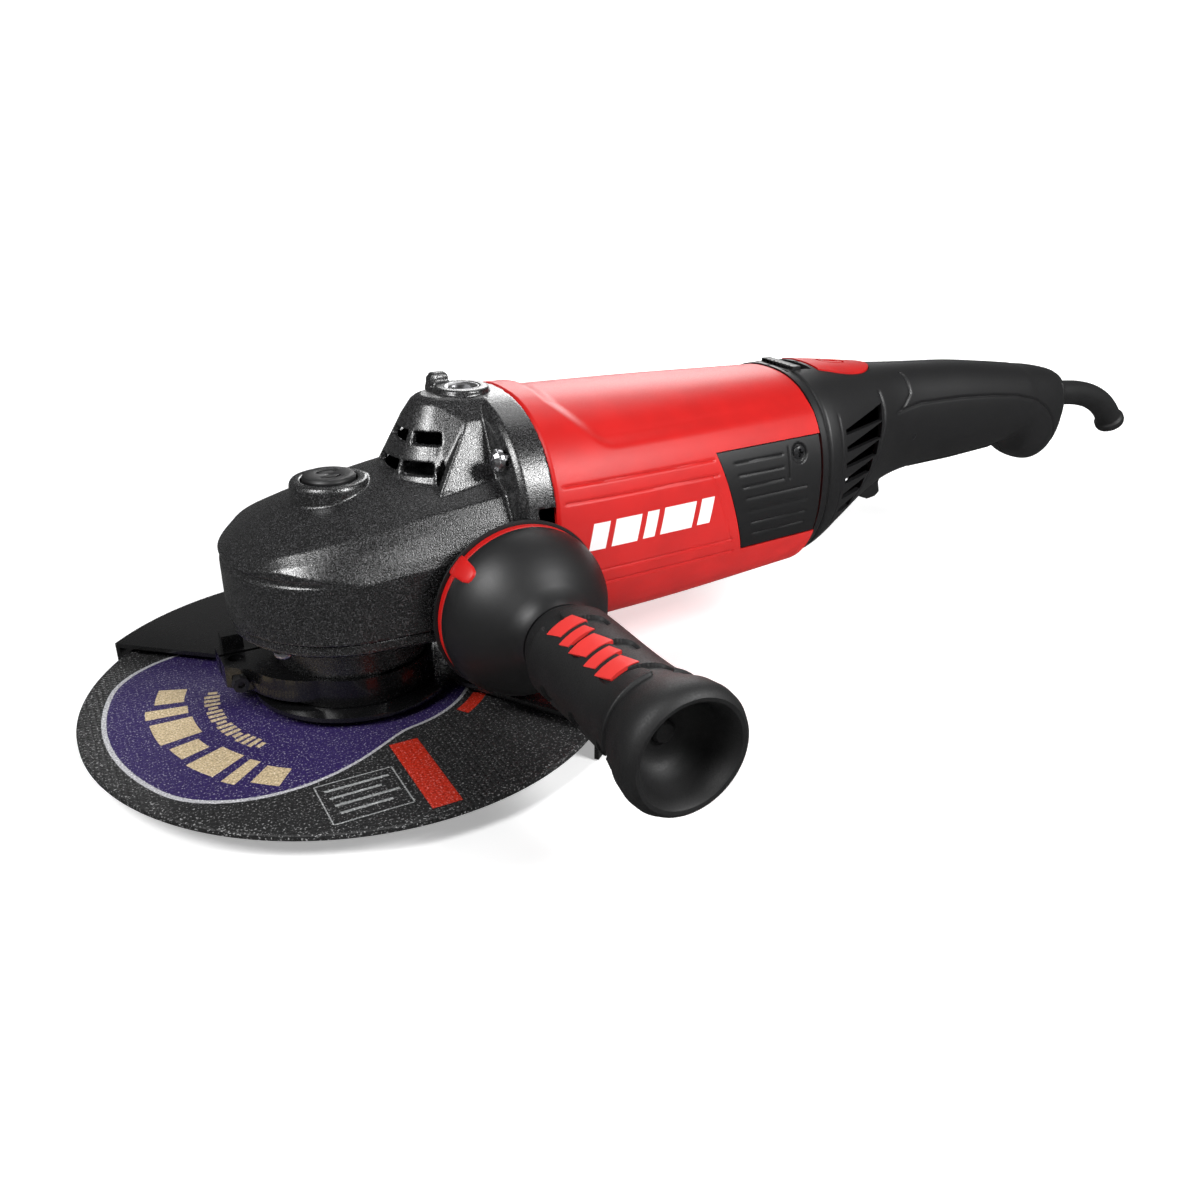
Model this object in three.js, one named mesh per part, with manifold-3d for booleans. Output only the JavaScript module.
// Large angle grinder with a 230 mm cutting disc, as an assembly of separate parts.
// Millimetres, +Z up. The origin is the centre of the spindle's end face, the spindle runs up +Z,
// the motor and the rear handle run back along +X, and the side handle points along -Y.
import * as THREE from "three";
import { mergeVertices } from "three/addons/utils/BufferGeometryUtils.js";
import Module from "manifold-3d";

const wasm = await Module();
wasm.setup();

// Driving dimensions
const GAP = 0.3; // clearance between touching parts
const DISC_RADIUS = 115;
const DISC_BOTTOM = 9; // height of the disc above the spindle's end
const DISC_THICKNESS = 2.8;
const THREAD_RADIUS = 7; // M14 spindle thread
const FLANGE_RADIUS = 20;
const MOTOR_Z = 80.6; // height of the armature's axis
const HEAD_RADIUS = 50; // round nose of the gear housing, about the spindle
const HEAD_BOTTOM = 53;
const NECK_RADIUS = 33; // neck of the gearbox cover that carries the guard
const NECK_BOTTOM = 19;
const COVER_SCREWS = [[-34.5, -25.5], [30, -42.5], [30, 42.5], [-34.5, 25.5]]; // x and y
const COVER_BOTTOM = 46.8; // underside of the cover, round its neck
const COVER_END = 37; // where the gear room and its cover stop, towards the motor
const BEARING_RADIUS = 20; // spindle's lower bearing
const HOUSING_FRONT = 74;
const HOUSING_REAR = 219;
const HOUSING_WALL = 3;
const SIDE_AXIS = [55, 59.7]; // x and z of the side handle's axis
const BOSS_FACE = 57.8; // distance of the side bosses' faces from the middle
const SOCKET_RADIUS = 6.3; // M14 sockets for the side handle
const TOP_SOCKET_X = 57;
const TOP_SOCKET_Z = 139;
const FACET_SCREW = [40, 36.4]; // y and height above the motor axis of the four housing screws
const GUARD_RADIUS = 119;
const SHEET = 2; // guard sheet thickness
const PLATE_TOP = 17.2;
const BAND_TOP = 30;
const CROWN_TEETH = 37;
const PINION_TEETH = 11;
const GEAR_RADIUS = 32; // outer radius of the crown gear's teeth
const GEAR_INNER = 24;
const BUTTON_X = -3;
const LOCK_X = -13; // lock pin and its four holes in the crown gear
const ROTOR_RADIUS = 27.5;
const STATOR_RADIUS = 43;
const CORE_START = 104;
const CORE_END = 158;
const COMMUTATOR = [172, 190];
const COMMUTATOR_RADIUS = 16;
const HANDLE_WALL = 2.6;
const BRUSH_PANEL = [157, 213, 61, 108]; // x from, x to, z from, z to
const HANDLE_SCREW = [300, 92]; // x and z
const PANEL_SCREW = [205, 0, 101.5];
const LEVER_PIN = [294.5, 0, 66.7];
const CLAMP_SCREW = [-50, 24.6]; // x and z of the screw that draws the guard band together
const BAND_BOTTOM = 20;
const SHEET_ANGLES = [-52, 140]; // the guard's two ends, in degrees about the spindle

// Geometry helpers
function solid(geometry) {
  const bare = new THREE.BufferGeometry();
  bare.setAttribute("position", geometry.getAttribute("position"));
  bare.setIndex(geometry.index);
  const merged = mergeVertices(bare, 1e-4);
  const points = merged.attributes.position.array;
  const faces = new Uint32Array(merged.index.array);
  const corner = (i) => new THREE.Vector3().fromArray(points, 3 * faces[i]);
  let volume = 0;
  for (let i = 0; i < faces.length; i += 3) volume += corner(i).dot(corner(i + 1).cross(corner(i + 2)));
  if (volume < 0) for (let i = 0; i < faces.length; i += 3) faces.subarray(i, i + 3).reverse();
  return new wasm.Manifold(new wasm.Mesh({ numProp: 3, vertProperties: points, triVerts: faces }));
}

function join(...solids) {
  return solids.reduce((sum, next) => sum.add(next));
}

function cut(body, ...tools) {
  return tools.reduce((rest, tool) => rest.subtract(tool), body);
}

function block(x, y, z) {
  const geometry = new THREE.BoxGeometry(x[1] - x[0], y[1] - y[0], z[1] - z[0]);
  geometry.translate((x[0] + x[1]) / 2, (y[0] + y[1]) / 2, (z[0] + z[1]) / 2);
  return solid(geometry);
}

// Turns a geometry made about Z so that its axis lies along X or Y.
function aim(geometry, axis) {
  if (axis === "x") geometry.rotateY(Math.PI / 2);
  if (axis === "y") geometry.rotateX(-Math.PI / 2);
  return geometry;
}

// A closed profile of [radius, height] points, turned about an axis through a point.
function turned(profile, { axis = "z", at = [0, 0, 0], sides = 28 } = {}) {
  const points = profile.map(([r, h]) => new THREE.Vector2(r, h));
  if (profile.every(([r]) => r > 0)) points.push(points[0].clone());
  const geometry = new THREE.LatheGeometry(points, sides).rotateX(Math.PI / 2);
  return solid(aim(geometry, axis).translate(...at));
}

function rod(radius, from, to, options) {
  return turned([[0, from], [radius, from], [radius, to], [0, to]], options);
}

function ring(inner, outer, from, to, options) {
  return turned([[inner, from], [outer, from], [outer, to], [inner, to]], options);
}

const alongMotor = (sides = 28) => ({ axis: "x", at: [0, 0, MOTOR_Z], sides });

// Joins equal-sized rings of points into a closed solid.
function skin(rings) {
  const count = rings[0].length;
  const points = rings.flat(2);
  const faces = [];
  for (let k = 0; k + 1 < rings.length; k++)
    for (let i = 0; i < count; i++) {
      const j = (i + 1) % count;
      faces.push(k * count + i, k * count + j, (k + 1) * count + j);
      faces.push(k * count + i, (k + 1) * count + j, (k + 1) * count + i);
    }
  const last = (rings.length - 1) * count;
  for (let i = 1; i + 1 < count; i++) {
    faces.push(0, i + 1, i);
    faces.push(last, last + i, last + i + 1);
  }
  const geometry = new THREE.BufferGeometry();
  geometry.setAttribute("position", new THREE.Float32BufferAttribute(points, 3));
  return solid(geometry.setIndex(faces));
}

// A rounded section across X, with its own top and bottom heights about the middle.
function section([x, halfWidth, top, bottom], middle, power, sides) {
  const bulge = (v) => Math.sign(v) * Math.abs(v) ** (2 / power);
  return Array.from({ length: sides }, (_, i) => {
    const angle = (2 * Math.PI * (i + 0.5)) / sides;
    const rise = bulge(Math.sin(angle));
    return [
      x, halfWidth * bulge(Math.cos(angle)),
      middle + rise * (rise > 0 ? top - middle : middle - bottom),
    ];
  });
}

function loft(stations, { inset = 0, middle = MOTOR_Z, power = 2.35, sides = 24 } = {}) {
  const shrink = ([x, w, top, bottom]) => [x, w - inset, top - inset, bottom + inset];
  const centre = (s) => (middle === null ? (s[2] + s[3]) / 2 : middle);
  return skin(stations.map(shrink).map((s) => section(s, centre(s), power, sides)));
}

// A flat outline in X and Y, raised between two heights.
function raised(outline, from, to) {
  const shape = outline instanceof THREE.Shape ? outline : new THREE.Shape(
    outline.map(([x, y]) => new THREE.Vector2(x, y)),
  );
  const options = { depth: to - from, bevelEnabled: false, curveSegments: 14 };
  return solid(new THREE.ExtrudeGeometry(shape, options).translate(0, 0, from));
}

// An outline in X and Z, swept along Y.
function pushed(outline, from, to) {
  const ringAt = (y) => outline.map(([x, z]) => [x, y, z]);
  return skin([ringAt(from), ringAt(to)]);
}

// A coil spring about a line parallel to an axis.
function spring({ radius, wire, turns, length, axis, at }) {
  class Coil extends THREE.Curve {
    getPoint(t) {
      const angle = 2 * Math.PI * turns * t;
      return new THREE.Vector3(radius * Math.cos(angle), radius * Math.sin(angle), length * t);
    }
  }
  const wireSection = new THREE.Shape().absarc(0, 0, wire, 0, 2 * Math.PI);
  const options = { steps: turns * 8, extrudePath: new Coil(), curveSegments: 2, bevelEnabled: false };
  return solid(aim(new THREE.ExtrudeGeometry(wireSection, options), axis).translate(...at));
}

// Part of a ring about X, between two angles in degrees, for the field coils.
function arcBar(inner, outer, from, to, x) {
  const a = THREE.MathUtils.degToRad(from);
  const b = THREE.MathUtils.degToRad(to);
  const shape = new THREE.Shape();
  shape.absarc(0, 0, outer, a, b, false);
  shape.absarc(0, 0, inner, b, a, true);
  const options = { depth: x[1] - x[0], bevelEnabled: false, curveSegments: 10 };
  const geometry = new THREE.ExtrudeGeometry(shape, options);
  geometry.rotateZ(Math.PI / 2).rotateY(Math.PI / 2).rotateX(Math.PI);
  return solid(geometry.translate(x[0], 0, MOTOR_Z));
}

const group = new THREE.Group();

function finish(color, roughness, metalness = 0) {
  return new THREE.MeshStandardMaterial({ color, roughness, metalness });
}

const FINISH = {
  cast: finish(0x2b2b2c, 0.42, 0.6),
  red: finish(0xd3120f, 0.38),
  black: finish(0x161617, 0.55),
  rubber: finish(0x131313, 0.85),
  sheet: finish(0x101011, 0.35, 0.4),
  steel: finish(0xa9abad, 0.3, 1),
  zinc: finish(0xc4c6c8, 0.35, 1),
  copper: finish(0xb5642c, 0.4, 1),
  laminate: finish(0x55585c, 0.5, 0.8),
  carbon: finish(0x222222, 0.7),
  brass: finish(0xb99a4c, 0.35, 1),
  disc: finish(0x201e24, 0.9),
};

function add(name, body, material) {
  const made = body.getMesh();
  const geometry = new THREE.BufferGeometry();
  geometry.setAttribute("position", new THREE.BufferAttribute(new Float32Array(made.vertProperties), 3));
  geometry.setIndex(new THREE.BufferAttribute(new Uint32Array(made.triVerts), 1));
  geometry.computeVertexNormals();
  const mesh = new THREE.Mesh(geometry, material);
  mesh.name = name;
  group.add(mesh);
}

// Outer shapes
const HOUSING = [
  [HOUSING_FRONT, 57.5, 136.6, 26.4],
  [100, 57, 136.2, 27],
  [150, 54, 134.8, 28.6],
  [HOUSING_REAR, 48.8, 132, 33],
];

const HANDLE = [
  [219.5, 48.6, 132, 33.2],
  [232, 46.5, 132.4, 37.5],
  [250, 40, 131, 46.5],
  [268, 33, 129, 55.5],
  [285, 27, 127, 62],
  [300, 24, 125.8, 66],
  [320, 22.5, 124.5, 68.5],
  [345, 22, 122.8, 69.4],
  [372, 21.5, 119.6, 71.2],
  [393, 21, 116.6, 73],
  [399, 21, 115.8, 64],
  [407, 20.5, 114.8, 59.8],
  [415.5, 19.5, 113.2, 58.8],
  [423.5, 17, 111.2, 63],
  [429.5, 13.5, 108.6, 72.5],
  [434, 9.6, 104, 85],
];

function handleLoft(inset) {
  return loft(HANDLE, { inset, middle: null, power: 2.3, sides: 20 });
}

// Plan of the head: a round nose about the spindle that widens towards the motor.
function headPlan(inset, rear) {
  const shape = new THREE.Shape();
  const r = HEAD_RADIUS - inset;
  shape.moveTo(rear, -r - 2);
  shape.lineTo(rear, r + 2);
  shape.absarc(0, 0, r, Math.PI / 2 - 0.03, (3 * Math.PI) / 2 + 0.03, false);
  return shape;
}

// Section of the head across X: flat sides, a bevel up to a ridge, and a crowned top.
function headSection([x, top, ridgeY, ridgeZ, side, crease], inset) {
  const half = [
    [side - inset, HEAD_BOTTOM - 1],
    [side - inset, crease],
    [ridgeY - inset, ridgeZ - inset],
    [ridgeY * 0.5, top - 0.2 * (top - ridgeZ) - inset],
    [0, top - inset],
  ];
  const mirrored = half.slice(0, -1).reverse().map(([y, z]) => [-y, z]);
  return [...half, ...mirrored].map(([y, z]) => [x, y, z]);
}

const HEAD = [
  [-51, 82, 12, 80.5, 24, 74],
  [-44, 86, 22, 83, 34, 75],
  [-34, 93.5, 30.5, 88, 43, 76],
  [-19, 99, 36.5, 91, 49, 76],
  [0, 103.5, 39, 94.5, 51, 76],
  [26, 109, 40.5, 98.5, 52.5, 76],
  [62, 114, 43, 103, 55, 76],
];

const HOOD_X = 47; // axis of the hood's conical front
const HOOD = [ // z, radius of the cone, where the side facet starts, half width at the facet
  [100, 31.5, 32, 34.5],
  [105, 29.5, 33.5, 33],
  [127, 17.5, 49.5, 21.5],
  [134.5, 12, 53, 17],
  [137, 8.5, 54, 14],
];

function headSolid(inset) {
  const crown = skin(HEAD.map((row) => headSection(row, inset)));
  return raised(headPlan(inset, 60 - inset), HEAD_BOTTOM, 125).intersect(crown);
}

// Hood over the front of the fan: a cone at the front that turns into a flat facet on each side.
function hoodRing([z, radius, start, halfWidth]) {
  const front = Array.from({ length: 6 }, (_, i) => {
    const angle = THREE.MathUtils.degToRad(180 - i * 12);
    return [HOOD_X + radius * Math.cos(angle), radius * Math.sin(angle)];
  });
  const half = [...front, [start, halfWidth], [62, halfWidth + 0.8]];
  const mirrored = half.slice(1).map(([x, y]) => [x, -y]);
  return [...half, ...mirrored.reverse()].map(([x, y]) => [x, y, z]);
}

function hoodSolid() {
  return skin(HOOD.map(hoodRing));
}

// Gear housing and its cover
function gearHousing() {
  const flange = loft([
    [56, 52.5, 130, 30],
    [60, 56, 135, 27.8],
    [HOUSING_FRONT - GAP, 57.5, 136.6, 26.4],
  ]);
  const buttonBoss = turned(
    [[0, 96], [16.5, 96], [15.3, 107], [0, 107]], { at: [BUTTON_X, 0, 0], sides: 24 },
  );
  const topBoss = turned([
    [0, 122], [11, 122], [10.4, TOP_SOCKET_Z], [0, TOP_SOCKET_Z],
  ], { at: [TOP_SOCKET_X, 0, 0], sides: 24 });
  const sideBosses = rod(
    17, -BOSS_FACE, BOSS_FACE, { axis: "y", at: [SIDE_AXIS[0], 0, SIDE_AXIS[1]], sides: 28 },
  );
  const fin = pushed([[46, 126], [54, 126], [54, 141], [51, 143]], 9, 14);
  let body = join(headSolid(0), hoodSolid(), flange, buttonBoss, topBoss, sideBosses, fin);

  const gearRoom = headSolid(4.2).intersect(block([-60, COVER_END], [-60, 60], [HEAD_BOTTOM - 1, 94]));
  const ceilingSeat = rod(10, 82, 110, { sides: 20 });
  const screwPosts = COVER_SCREWS.map(coverPost);
  const rearRoom = loft([[62, 49, 128, 34], [75, 53.5, 133, 30]]);
  const bearingHub = rod(22, 44, 72, alongMotor());
  const duct = block([34, 66], [-24, 24], [116, 128]);
  body = cut(body, cut(gearRoom, ceilingSeat, ...screwPosts), cut(rearRoom, bearingHub), duct);
  body = cut(body, rod(17.8, 46, 60, alongMotor()), rod(9, 34, 80, alongMotor(20)));
  body = cut(body, rod(8.3, 80, 92, { sides: 20 }), rod(3, 90, 120, { at: [LOCK_X, 0, 0], sides: 16 }));
  body = cut(
    body, rod(11.5, 99.4, 120, { at: [BUTTON_X, 0, 0], sides: 24 }),
    rod(5.6, 94.4, 110, { at: [BUTTON_X, 0, 0], sides: 16 }),
  );
  body = cut(body, rod(SOCKET_RADIUS, 122, 150, { at: [TOP_SOCKET_X, 0, 0], sides: 20 }));
  for (const side of [-1, 1]) {
    const span = side < 0 ? [-70, -38] : [38, 70];
    body = cut(
      body,
      rod(SOCKET_RADIUS, ...span, { axis: "y", at: [SIDE_AXIS[0], 0, SIDE_AXIS[1]], sides: 20 }),
    );
    for (const level of [-1, 1]) body = cut(body, ...housingScrewCuts(side, level));
  }
  for (const z of [109.5, 122.5]) body = cut(
    body, ...[120, 153, 207, 240].map((angle) => airSlot(angle, z)),
  );
  return body;
}

function coverPost([x, y]) {
  const at = [x, y, 0];
  return cut(
    rod(5, HEAD_BOTTOM - 2, 68, { at, sides: 14 }),
    rod(2.5, HEAD_BOTTOM - 3, 64, { at, sides: 12 }),
  );
}

function housingScrewCuts(side, level) {
  const at = [0, side * FACET_SCREW[0], MOTOR_Z + level * FACET_SCREW[1]];
  const pocket = block([44, 57], [at[1] - 7, at[1] + 7], [at[2] - 6, at[2] + 6]);
  return [pocket, rod(2.9, 50, 80, { axis: "x", at, sides: 12 })];
}

// One slot of the hood's front, between its inner room and the outside, on either side of an angle.
function airSlot(angle, z) {
  const slot = block([8, 40], [-6.5, 6.5], [z - 2.8, z + 2.8]);
  return slot.rotate([0, 0, angle]).translate([HOOD_X, 0, 0]).subtract(
    block([60, 100], [-60, 60], [90, 140]),
  );
}

function gearboxCover() {
  const plate = raised(headPlan(0.8, COVER_END - GAP), COVER_BOTTOM, HEAD_BOTTOM - GAP);
  const step = raised(headPlan(14, COVER_END - 14), COVER_BOTTOM - 3.6, COVER_BOTTOM + 1);
  const neck = ring(24, NECK_RADIUS, NECK_BOTTOM, COVER_BOTTOM, { sides: 36 });
  const body = join(plate, step, neck, rod(26, 24, 50, { sides: 20 }));
  const room = join(rod(BEARING_RADIUS + GAP, 30, 60, { sides: 32 }), rod(12, 10, 40, { sides: 24 }));
  const holes = COVER_SCREWS.map(([x, y]) => rod(2.5, 40, 60, { at: [x, y, 0], sides: 12 }));
  return cut(body, room, ...holes);
}

function coverScrew([x, y]) {
  const at = [x, y, 0];
  const under = COVER_BOTTOM - GAP;
  const profile = [
    [0, under - 4], [3.4, under - 4], [4.2, under - 3], [4.2, under], [2.2, under], [2.2, 62],
    [0, 62],
  ];
  return cut(turned(profile, { at, sides: 12 }), rod(1.9, 36, under - 2, { at, sides: 6 }));
}

function housingScrew(side, level) {
  const at = [0, side * FACET_SCREW[0], MOTOR_Z + level * FACET_SCREW[1]];
  const profile = [[0, 52.4], [3.2, 52.9], [4.6, 54.4], [4.6, 56.7], [2.4, 56.7], [2.4, 92], [0, 92]];
  const slot = block([50, 53.8], [at[1] - 3, at[1] + 3], [at[2] - 0.6, at[2] + 0.6]);
  const cross = block([50, 53.8], [at[1] - 0.6, at[1] + 0.6], [at[2] - 3, at[2] + 3]);
  return cut(turned(profile, { axis: "x", at, sides: 12 }), slot, cross);
}

// Gears: straight teeth that narrow to the point where the two axes meet
function crownGear() {
  const slope = PINION_TEETH / CROWN_TEETH;
  const rootZ = (r) => MOTOR_Z - slope * r - 1.7 * (r / GEAR_RADIUS);
  const blank = [
    [8.3, 60], [28, 60], [GEAR_RADIUS + 1, 64], [GEAR_RADIUS + 1, rootZ(GEAR_RADIUS + 1)],
    [GEAR_INNER - 1.5, rootZ(GEAR_INNER - 1.5)], [GEAR_INNER - 3, 70], [8.3, 70],
  ];
  let body = turned(blank, { sides: CROWN_TEETH });
  for (let i = 0; i < CROWN_TEETH; i++) {
    const middle = ((i + 0.5) * 2 * Math.PI) / CROWN_TEETH;
    const corners = (r) => {
      const k = r / GEAR_RADIUS;
      const place = (side, z) => [
        r * Math.cos(middle) - side * Math.sin(middle),
        r * Math.sin(middle) + side * Math.cos(middle), z,
      ];
      const bottom = rootZ(r) - 1;
      const top = MOTOR_Z - slope * r + 0.9 * k;
      return [
        place(-1.25 * k, bottom), place(1.25 * k, bottom), place(0.7 * k, top),
        place(-0.7 * k, top),
      ];
    };
    body = body.add(skin([corners(GEAR_INNER), corners(GEAR_RADIUS)]));
  }
  for (let i = 0; i < 4; i++) {
    const angle = (i * Math.PI) / 2;
    body = cut(
      body,
      rod(3.4, 50, 80, { at: [LOCK_X * Math.cos(angle), LOCK_X * Math.sin(angle), 0], sides: 12 }),
    );
  }
  return body;
}

function pinionGear() {
  const slope = PINION_TEETH / CROWN_TEETH;
  const root = (x) => slope * x - 1.7 * (x / GEAR_RADIUS);
  const blank = [
    [4.3, GEAR_INNER - 1], [root(GEAR_INNER - 1), GEAR_INNER - 1],
    [root(GEAR_RADIUS + 1), GEAR_RADIUS + 1], [6.5, GEAR_RADIUS + 3], [4.3, GEAR_RADIUS + 3],
  ];
  let body = turned(blank, alongMotor(22));
  for (let i = 0; i < PINION_TEETH; i++) {
    const angle = (i * 2 * Math.PI) / PINION_TEETH;
    const corners = (x) => {
      const k = x / GEAR_RADIUS;
      const place = (out, side) => [
        x, -out * Math.sin(angle) + side * Math.cos(angle),
        MOTOR_Z - out * Math.cos(angle) - side * Math.sin(angle),
      ];
      const low = root(x) - 1.2;
      const tip = slope * x + 0.9 * k;
      return [place(low, -1.1 * k), place(low, 1.1 * k), place(tip, 0.5 * k), place(tip, -0.5 * k)];
    };
    body = body.add(skin([corners(GEAR_INNER), corners(GEAR_RADIUS)]));
  }
  return body;
}

// Spindle with what it clamps
function spindle() {
  const profile = [
    [0, 0], [6.2, 0], [THREAD_RADIUS, 0.8], [THREAD_RADIUS, 18.4], [10.5, 18.4], [10.5, 29.9],
    [8.5, 29.9], [8.5, 55], [8, 55], [8, 74], [5, 76], [5, 91], [0, 91],
  ];
  return turned(profile, { sides: 24 });
}

function innerFlange() {
  const disc = DISC_BOTTOM + DISC_THICKNESS + GAP;
  const profile = [
    [7.3, 9.4], [10.7, 9.4], [10.7, disc], [FLANGE_RADIUS, disc], [FLANGE_RADIUS, disc + 3],
    [15, 18.1], [7.3, 18.1],
  ];
  return turned(profile, { sides: 32 });
}

function cuttingDisc() {
  return ring(11.1, DISC_RADIUS, DISC_BOTTOM, DISC_BOTTOM + DISC_THICKNESS, { sides: 60 });
}

function flangeNut() {
  const top = DISC_BOTTOM - GAP;
  const body = turned([
    [7.3, 1.4], [15, 1.4], [17, 4], [FLANGE_RADIUS, 5], [FLANGE_RADIUS, top], [7.3, top],
  ], { sides: 32 });
  const spannerHoles = [-1, 1].map((side) => rod(2.5, 0, 12, { at: [0, side * 14, 0], sides: 12 }));
  return cut(body, ...spannerHoles);
}

// Guard
function guardShell() {
  const [from, to] = SHEET_ANGLES.map(THREE.MathUtils.degToRad);
  const guardEdge = [30, -21];
  const fan = (outer) => {
    const shape = new THREE.Shape();
    shape.moveTo(23, -10);
    shape.lineTo(...guardEdge);
    shape.absarc(0, 0, outer, from, to, false);
    shape.lineTo(-30, 25);
    return shape;
  };
  const options = { depth: SHEET, bevelEnabled: false, curveSegments: 30 };
  const at = (shape, depth, z) => solid(
    new THREE.ExtrudeGeometry(shape, { ...options, depth }).translate(0, 0, z),
  );
  const plate = at(fan(GUARD_RADIUS), SHEET, PLATE_TOP - SHEET);
  const skirt = cut(
    at(fan(GUARD_RADIUS), PLATE_TOP - 1, 0), rod(GUARD_RADIUS - SHEET, -1, 30, { sides: 72 }),
  );
  const hub = rod(44, PLATE_TOP - SHEET, PLATE_TOP, { sides: 36 });
  return cut(join(plate, skirt, hub), rod(NECK_RADIUS + 0.4, 0, 30, { sides: 36 }));
}

function guardBand() {
  const sides = 36;
  const wide = rod(34.5, BAND_BOTTOM, BAND_TOP, { at: [-12, 5.5, 0], sides });
  const low = rod(NECK_RADIUS + 2.4, PLATE_TOP + GAP, BAND_BOTTOM + 1, { sides });
  const ear = raised([
    [-54.4, 3.6], [-48.1, -2.2], [-36, -8], [-30, 25], [-54.4, 25],
  ], BAND_BOTTOM, BAND_TOP);
  const lug = block([-52, -43], [18, 25], [BAND_TOP - 1, BAND_TOP + 7]);
  const hoop = join(rod(NECK_RADIUS + 2.4, BAND_BOTTOM, BAND_TOP, { sides }), wide, low, ear, lug);
  const slit = block([-60, -30], [13.5, 15.5], [0, 40]);
  return cut(hoop, rod(NECK_RADIUS + 0.4, 0, 40, { sides }), slit, clampRod(2.4, -20, 40));
}

function clampRod(radius, from, to, sides = 14) {
  return rod(radius, from, to, { axis: "y", at: [CLAMP_SCREW[0], 0, CLAMP_SCREW[1]], sides });
}

function clampScrew() {
  const flat = -0.6; // face of the front ear, at the screw
  const head = clampRod(3.6, flat - 5.8, flat - 2.8, 8);
  return cut(join(head, clampRod(2.1, flat - 3.2, 30.5)), clampRod(1.7, flat - 7, flat - 4.4, 6));
}

function clampNut() {
  const at = [CLAMP_SCREW[0], 0, CLAMP_SCREW[1]];
  return ring(2.5, 4.2, 25.3, 28.6, { axis: "y", at, sides: 6 });
}

// Spindle lock: the button's pin drops into the crown gear
function lockButton() {
  const cap = turned([
    [0, 104.6], [11, 104.6], [11, 107.8], [10, 108.6], [0, 108.6],
  ], { at: [BUTTON_X, 0, 0], sides: 24 });
  return join(cap, rod(2.5, 72, 106, { at: [LOCK_X, 0, 0], sides: 12 }));
}

// Motor
function motorHousing() {
  const outer = loft(HOUSING);
  const room = loft([
    [HOUSING_FRONT - 1, 54.5, 133.6, 29.4],
    ...HOUSING.slice(1, 3).map(insetRow),
    [HOUSING_REAR + 1, 45.8, 129, 35],
  ]);
  let body = cut(outer, room);
  const web = cut(
    loft([[193, 48, 132, 32], [202, 47.5, 131.5, 32.5]]), rod(13.3, 180, 210, alongMotor(24)),
  );
  const airWays = [45, 135, 225, 315].map((angle) => airWay(angle));
  body = body.add(cut(web, ...airWays));
  for (const side of [-1, 1])
    for (const level of [-1, 1]) {
      const at = [0, side * FACET_SCREW[0], MOTOR_Z + level * FACET_SCREW[1]];
      const post = rod(5.4, 75, 96, { axis: "x", at, sides: 14 });
      body = cut(body.add(post), rod(2.8, 70, 94, { axis: "x", at, sides: 12 }));
    }
  for (const side of [-1, 1]) body = cut(body, panelPocket(side), brushWindow(side));
  return body.intersect(loft(HOUSING));
}

function insetRow([x, w, top, bottom]) {
  return [x, w - HOUSING_WALL, top - HOUSING_WALL, bottom + HOUSING_WALL];
}

function airWay(angle) {
  const a = THREE.MathUtils.degToRad(angle);
  return rod(
    10, 180, 210, { axis: "x", at: [0, 30 * Math.cos(a), MOTOR_Z + 30 * Math.sin(a)], sides: 14 },
  );
}

// The outline of the brush panel, seen from the side, grown by a margin
function panelOutline(margin) {
  const [x0, x1, z0, z1] = BRUSH_PANEL;
  return [
    [x0 - margin, z1 + margin],
    [x1 + margin, z1 + margin],
    [x1 + margin, z0 - margin],
    [x0 + 16 - margin, z0 - margin],
  ];
}

function panelPocket(side) {
  const prism = pushed(panelOutline(GAP), side * 20, side * 70);
  return cut(prism, loft(HOUSING.map(([x, w, t, b]) => [x < 80 ? x - 5 : x, w - 2, t - 2, b + 2])));
}

function brushWindow(side) {
  const window = block([170, 192], side < 0 ? [-60, -30] : [30, 60], [MOTOR_Z - 9, MOTOR_Z + 9]);
  return window.add(
    rod(2, ...(side < 0 ? [-60, 0] : [0, 60]), { axis: "y", at: PANEL_SCREW, sides: 10 }),
  );
}

function brushCover(side) {
  const body = pushed(panelOutline(0), side * 20, side * 70).intersect(loft(HOUSING));
  const made = cut(body, loft(HOUSING, { inset: 1.7 }).intersect(block([80, 230], [-70, 70], [0, 150])));
  return cut(made, rod(2, 0, side * 70, { axis: "y", at: PANEL_SCREW, sides: 10 }));
}

function brushCoverScrew(side) {
  return rod(1.7, side * 36, side * 46.3, { axis: "y", at: PANEL_SCREW, sides: 10 });
}

function statorCore() {
  const body = ring(28.6, STATOR_RADIUS, CORE_START, CORE_END, alongMotor(32));
  const slots = [90, 270].map((
    middle,
  ) => arcBar(28, 38, middle - 54, middle + 54, [CORE_START - 1, CORE_END + 1]));
  return cut(body, ...slots);
}

function fieldCoil(middle) {
  return arcBar(29, 37.6, middle - 52, middle + 52, [CORE_START - 6, CORE_END + 6]);
}

function rotorSlots(radius, x) {
  return Array.from({ length: 8 }, (_, i) => {
    const a = (2 * Math.PI * i) / 8;
    return rod(
      radius, ...x, { axis: "x", at: [0, 21 * Math.cos(a), MOTOR_Z + 21 * Math.sin(a)], sides: 6 },
    );
  });
}

function rotorCore() {
  return cut(ring(6.4, ROTOR_RADIUS, CORE_START, CORE_END, alongMotor(30)), ...rotorSlots(4, [100, 162]));
}

function rotorWinding() {
  const bulge = (a, b) => turned([[7, a], [21, a], [25, (a + b) / 2], [25, b], [7, b]], alongMotor(24));
  return join(bulge(95, CORE_START - GAP), bulge(169, CORE_END + GAP), ...rotorSlots(3.6, [100, 162]));
}

function commutator() {
  const [from, to] = COMMUTATOR;
  return turned([
    [6.4, from], [18, from], [18, from + 3], [COMMUTATOR_RADIUS, from + 3], [COMMUTATOR_RADIUS, to],
    [6.4, to],
  ], alongMotor(32));
}

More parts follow.
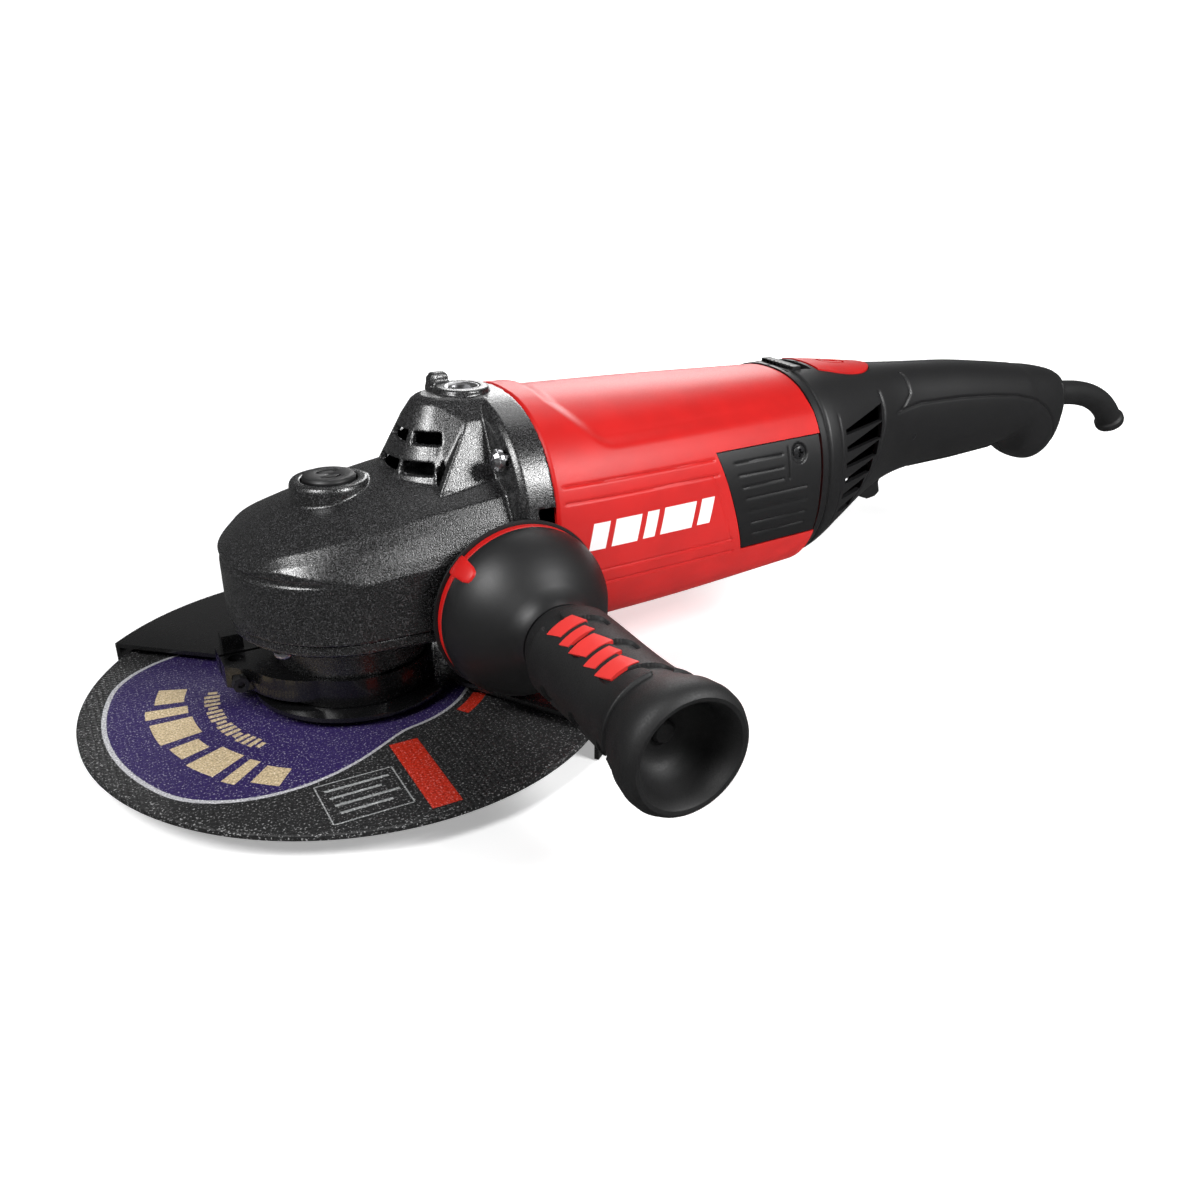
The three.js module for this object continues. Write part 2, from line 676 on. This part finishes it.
function armatureShaft() {
  const profile = [
    [0, 22], [4, 22], [4, 36], [7.4, 36], [7.4, 62], [6, 62], [6, 192], [4, 192], [4, 205],
    [0, 205],
  ];
  return turned(profile, alongMotor(20));
}

function fan() {
  let body = turned([[6.4, 76.5], [14, 76.5], [14, 88], [42, 88], [42, 90], [6.4, 90]], alongMotor(32));
  for (let i = 0; i < 9; i++) {
    const a = (2 * Math.PI * i) / 9;
    const c = Math.cos(a);
    const s = Math.sin(a);
    const corner = (x, out, side) => [x, out * c - side * s, MOTOR_Z + out * s + side * c];
    const face = (x) => [corner(x, 12, -1), corner(x, 12, 1), corner(x, 41, 7), corner(x, 41, 5)];
    body = body.add(skin([face(77.5), face(88.5)]));
  }
  return body;
}

function brushHolder(side) {
  const y = [side * 18.2, side * 43].sort((a, b) => a - b);
  const bore = [side * 10, side * 60].sort((a, b) => a - b);
  const shell = block([173.5, 188.5], y, [MOTOR_Z - 6.5, MOTOR_Z + 6.5]);
  return cut(shell, block([176.2, 185.8], bore, [MOTOR_Z - 4.2, MOTOR_Z + 4.2]));
}

function carbonBrush(side) {
  const y = [side * 16.4, side * 34].sort((a, b) => a - b);
  return block([176.6, 185.4], y, [MOTOR_Z - 3.8, MOTOR_Z + 3.8]);
}

function brushSpring(side) {
  const at = [181, side < 0 ? -42.6 : 34.9, MOTOR_Z];
  return spring({ radius: 2.8, wire: 0.5, turns: 4, length: 7.7, axis: "y", at });
}

function swivelRing() {
  return turned([[36, 207], [45, 207], [45, 213], [40, 213], [40, 227], [36, 227]], alongMotor(32));
}

// Rear handle
function handleShell(side) {
  const room = loft(
    HANDLE.slice(0, -1).map((row, i) => [i ? row[0] : 223, ...row.slice(1)]),
    { inset: HANDLE_WALL, middle: null, power: 2.3, sides: 20 },
  );
  let body = cut(
    handleLoft(0), room.subtract(block([424, 450], [-30, 30], [0, 150])),
    rod(40.4, 210, 224, alongMotor(32)),
  );
  for (let i = 0; i < 7; i++) body = cut(body, ventSlot(side, i));
  const seat = loft([
    [238, 15, 139, 120], [250, 17, 137, 118], [272, 15, 134, 115], [286, 6, 132, 112],
  ], { middle: null, power: 2 });
  const pocket = cut(seat.intersect(block([230, 290], [-30, 30], [100, 150])), handleLoft(1.4));
  body = cut(body, pocket);
  body = cut(body, block([306.5, 390.5], [-10, 10], [50, 80]), block([280, 303.5], [-6, 6], [45, 80]));
  body = cut(body, rod(2.2, -8.5, 8.5, { axis: "y", at: LEVER_PIN, sides: 12 }));
  body = cut(
    body, block([221, 236.5], [-12.9, 12.9], [118, 150]),
    rod(7.6, 417, 450, { axis: "x", at: [0, 0, 94.8], sides: 16 }),
  );
  body = cut(
    body, rod(1.9, -60, 60, { axis: "y", at: [HANDLE_SCREW[0], 0, HANDLE_SCREW[1]], sides: 10 }),
  );
  const half = side < 0 ? [-80, -0.15] : [0.15, 80];
  return body.intersect(block([200, 460], half, [0, 160]));
}

// The vents run back from one line round the dome to the crease where the grip starts.
function ventSlot(side, index) {
  const z = 58.2 + index * 7.95;
  const rise = 1 + index * 0.4;
  const end = 244.5 + 26.5 * Math.sin((Math.PI / 12) * index);
  const outline = [[237, z + 1.45], [end, z + rise + 1.45], [end, z + rise - 1.45], [237, z - 1.45]];
  return pushed(outline, side * 18, side * 60);
}

function badge() {
  const seat = loft([
    [239, 14.4, 139, 120], [250, 16.4, 137, 118], [271, 14.4, 134, 115], [284, 6, 132, 112],
  ], { middle: null, power: 2 });
  return cut(
    seat.intersect(handleLoft(-0.6)), handleLoft(1.1),
  ).intersect(block([230, 290], [-30, 30], [100, 150]));
}

function handleScrew(x, z) {
  const profile = [[0, -26.8], [3.2, -26.8], [3.2, -24.5], [1.6, -24.5], [1.6, 15], [0, 15]];
  return turned(profile, { axis: "y", at: [x, 0, z], sides: 10 });
}

function switchModule() {
  return join(block([314, 352], [-9, 9], [85, 108]), block([326, 340], [-4, 4], [83.5, 86]));
}

function lockTab() {
  const plate = block([222.5, 230], [-12.5, 12.5], [124, 131.2]);
  const thumbRib = block([225, 230], [-12.5, 12.5], [131, 133]);
  return join(plate, thumbRib);
}

function triggerPaddle() {
  const outline = [[308, 78], [308, 70.5], [314, 69.3], [345, 70], [375, 72], [389, 75], [389, 78]];
  return pushed(outline, -9.5, 9.5);
}

function lockOffLever() {
  const arm = pushed([
    [287, 69], [300, 69], [298.5, 61], [300, 55.5], [297, 53], [291.6, 52.3], [286, 54.5],
    [283.6, 57.5], [284, 64],
  ], -5, 5);
  return join(arm, rod(1.8, -7.5, 7.5, { axis: "y", at: LEVER_PIN, sides: 12 }));
}

// Curved rubber sleeve where the cord would leave the handle
function cordSleeve() {
  const path = new THREE.CubicBezierCurve3(
    new THREE.Vector3(422, 0, 94.5),
    new THREE.Vector3(462, 0, 96),
    new THREE.Vector3(482, 0, 88),
    new THREE.Vector3(494, 0, 70.5),
  );
  const circle = new THREE.Shape().absarc(0, 0, 7.2, 0, 2 * Math.PI);
  const options = { steps: 12, extrudePath: path, curveSegments: 6, bevelEnabled: false };
  const sleeve = solid(new THREE.ExtrudeGeometry(circle, options));
  const end = path.getPoint(1);
  const way = path.getTangent(1);
  const tilt = Math.atan2(way.x, way.z);
  const lip = new THREE.LatheGeometry([
    [0, -3.4], [7.6, -3.4], [8.7, -2], [8.7, 0.4], [7.6, 1.6], [4.8, 1.6], [4.8, -1.6], [0, -1.6],
  ].map(([r, h]) => new THREE.Vector2(r, h)), 16);
  lip.rotateX(Math.PI / 2).rotateY(tilt).translate(end.x, end.y, end.z);
  const mouth = new THREE.CylinderGeometry(4.8, 4.8, 6, 16);
  mouth.rotateX(Math.PI / 2).rotateY(tilt).translate(end.x, end.y, end.z);
  return cut(sleeve, solid(mouth)).add(solid(lip));
}

// Side handle, along -Y
function sideTurned(profile, sides = 26) {
  return turned(profile, { axis: "y", at: [SIDE_AXIS[0], 0, SIDE_AXIS[1]], sides });
}

function sideStud() {
  return sideTurned([[0, -38], [6, -38], [6, -115], [0, -115]], 20);
}

function sideRing() {
  return sideTurned([[20, -58.2], [35, -58.2], [35.6, -59], [35.6, -61.2], [20, -61.4]]);
}

function sideFlange() {
  const dome = [
    [6.4, -61.7], [35.6, -61.7], [36, -64], [35, -69], [31.5, -76.5], [25.5, -84], [19, -90],
    [15.5, -95], [6.4, -95],
  ];
  return sideTurned(dome);
}

function sideGrip() {
  const profile = [
    [0, -117], [6.4, -117], [6.4, -95.4], [15, -95.4], [16.8, -99], [18, -106], [17.6, -135],
    [17.8, -158], [20.5, -168], [23.4, -175], [24, -181], [22.6, -186], [19.6, -187], [17, -185],
    [15.5, -176], [11, -168], [5, -166], [0, -166],
  ];
  return sideTurned(profile);
}

add("gear_housing", gearHousing(), FINISH.cast);
add("gearbox_cover", gearboxCover(), FINISH.cast);
COVER_SCREWS.forEach((place, i) => add(`cover_screw_${i + 1}`, coverScrew(place), FINISH.zinc));
[[-1, 1], [1, 1], [-1, -1], [1, -1]].forEach(([side, level], i) => {
  add(`housing_screw_${i + 1}`, housingScrew(side, level), FINISH.zinc);
});
add("spindle_bearing", ring(8.8, BEARING_RADIUS, 30.3, 42, { sides: 32 }), FINISH.steel);
add("spindle_bush", ring(5.3, 8, 83, 91.6, { sides: 20 }), FINISH.brass);
add("front_bearing", ring(7.7, 17.5, 47, 59, alongMotor(28)), FINISH.steel);
add("rear_bearing", ring(4.3, 13, 194, 202, alongMotor(24)), FINISH.steel);
add("motor_housing", motorHousing(), FINISH.red);
add("fan_baffle", ring(30, 48, 92.5, 94.5, alongMotor(32)), FINISH.black);
add("stator_core", statorCore(), FINISH.laminate);
add("field_coil_upper", fieldCoil(90), FINISH.copper);
add("field_coil_lower", fieldCoil(270), FINISH.copper);
for (const [name, side] of [["right", -1], ["left", 1]]) {
  add(`brush_holder_${name}`, brushHolder(side), FINISH.brass);
  add(`carbon_brush_${name}`, carbonBrush(side), FINISH.carbon);
  add(`brush_spring_${name}`, brushSpring(side), FINISH.steel);
  add(`brush_cover_${name}`, brushCover(side), FINISH.black);
  add(`brush_cover_screw_${name}`, brushCoverScrew(side), FINISH.zinc);
}
add("swivel_ring", swivelRing(), FINISH.black);
add("side_handle_stud", sideStud(), FINISH.steel);
add("side_handle_ring", sideRing(), FINISH.red);
add("side_handle_flange", sideFlange(), FINISH.black);
add("side_handle_grip", sideGrip(), FINISH.rubber);

add("armature_shaft", armatureShaft(), FINISH.steel);
add("pinion_gear", pinionGear(), FINISH.steel);
add("rotor_core", rotorCore(), FINISH.laminate);
add("rotor_winding", rotorWinding(), FINISH.copper);
add("commutator", commutator(), FINISH.copper);
add("fan", fan(), FINISH.black);

add("spindle", spindle(), FINISH.steel);
add("crown_gear", crownGear(), FINISH.steel);
add("inner_flange", innerFlange(), FINISH.steel);
add("cutting_disc", cuttingDisc(), FINISH.disc);
add("flange_nut", flangeNut(), FINISH.steel);

add("guard_shell", guardShell(), FINISH.sheet);
add("guard_band", guardBand(), FINISH.sheet);
add("clamp_screw", clampScrew(), FINISH.zinc);
add("clamp_nut", clampNut(), FINISH.zinc);

add("lock_button", lockButton(), FINISH.black);
add(
  "lock_spring", spring({ radius: 4, wire: 0.5, turns: 3, length: 8.4, at: [BUTTON_X, 0, 95.4] }),
  FINISH.steel,
);

add("handle_shell_right", handleShell(-1), FINISH.black);
add("handle_shell_left", handleShell(1), FINISH.black);
add("handle_badge", badge(), FINISH.red);
add("handle_screw", handleScrew(...HANDLE_SCREW), FINISH.zinc);
add("switch_module", switchModule(), FINISH.black);
add("cord_sleeve", cordSleeve(), FINISH.rubber);
add("handle_lock_tab", lockTab(), FINISH.black);
add("trigger_paddle", triggerPaddle(), FINISH.black);
add("lock_off_lever", lockOffLever(), FINISH.black);

export default group;
